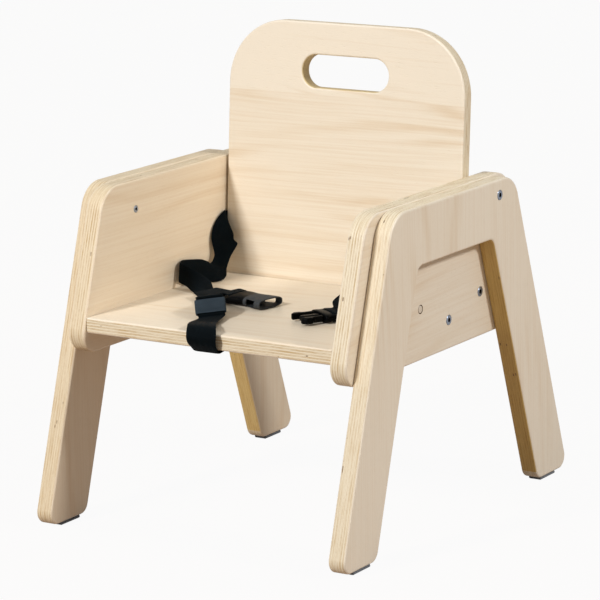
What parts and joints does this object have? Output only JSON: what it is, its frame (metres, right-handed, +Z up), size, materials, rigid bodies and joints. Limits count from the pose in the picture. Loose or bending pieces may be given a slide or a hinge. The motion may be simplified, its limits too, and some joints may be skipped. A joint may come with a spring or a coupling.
{
  "type": "toddler chair",
  "caption": "Low plywood chair with arched leg frames, side panels, a back board with a hand slot, and a black webbing harness with a side-release buckle.",
  "frame": {"origin": "on the floor, under the centre of the chair's bounding box", "axes": "+Z up, +Y from the front of the seat to the back board, +X to the right of someone who faces the chair's front"},
  "size_m": [0.3476, 0.4376, 0.4639],
  "materials": {
    "plywood": "clear satin lacquer over birch plywood, striped plies on the edges",
    "wood_plug": "clear satin lacquer",
    "zinc_screw": "zinc plated",
    "webbing": "plain woven black webbing",
    "buckle_plastic": "black moulded plastic, satin",
    "foot_pad": "dark grey, matt"
  },
  "bodies": {
    "chair": {"left_leg_frame": "plywood", "left_side_panel": "plywood", "right_leg_frame": "plywood", "right_side_panel": "plywood", "seat_board": "plywood", "back_board": "plywood", "left_front_foot_pad": "foot_pad", "left_rear_foot_pad": "foot_pad", "right_front_foot_pad": "foot_pad", "right_rear_foot_pad": "foot_pad", "left_frame_to_back_screw": "zinc_screw", "left_panel_to_back_screw": "zinc_screw", "left_front_seat_screw": "zinc_screw", "left_rear_seat_screw": "zinc_screw", "left_arm_screw": "zinc_screw", "left_panel_plug": "wood_plug", "right_frame_to_back_screw": "zinc_screw", "right_panel_to_back_screw": "zinc_screw", "right_front_seat_screw": "zinc_screw", "right_rear_seat_screw": "zinc_screw", "right_arm_screw": "zinc_screw", "right_panel_plug": "wood_plug", "left_hip_strap": "webbing", "left_hip_strap_washer": "zinc_screw", "left_hip_strap_screw": "zinc_screw", "right_hip_strap": "webbing", "right_hip_strap_washer": "zinc_screw", "right_hip_strap_screw": "zinc_screw", "crotch_strap": "webbing", "crotch_strap_washer": "zinc_screw", "crotch_strap_screw": "zinc_screw", "crotch_strap_keeper": "webbing"},
    "female_side": {"female_buckle": "buckle_plastic"},
    "male_side": {"male_buckle": "buckle_plastic"},
    "front_prong": {"male_front_prong": "buckle_plastic"},
    "rear_prong": {"male_rear_prong": "buckle_plastic"}
  },
  "joints": [
    {"name": "female_side_swing", "type": "hinge", "parent": "chair", "child": "female_side", "pos_m": [0, -0.1777, 0.204], "axis": [1, 0, 0], "range_deg": [0, 80], "deforming": ["left_hip_strap", "crotch_strap", "crotch_strap_keeper"]},
    {"name": "male_side_swing", "type": "hinge", "parent": "chair", "child": "male_side", "pos_m": [0.1365, 0.06703, 0.254], "axis": [-0.9061, 0.423, 0], "range_deg": [0, 75], "deforming": ["right_hip_strap"]},
    {"name": "front_prong_press", "type": "hinge", "parent": "male_side", "child": "front_prong", "pos_m": [0.07389, -0.09138, 0.20905], "axis": [0, 0, 1], "range_deg": [-7, 0], "stiffness_Nm_per_rad": 0.01},
    {"name": "rear_prong_press", "type": "hinge", "parent": "male_side", "child": "rear_prong", "pos_m": [0.05557, -0.07993, 0.20905], "axis": [0, 0, 1], "range_deg": [0, 7], "stiffness_Nm_per_rad": 0.01}
  ],
  "couplings": [
    {"joint": "rear_prong_press", "follows": "front_prong_press", "ratio": -1}
  ]
}
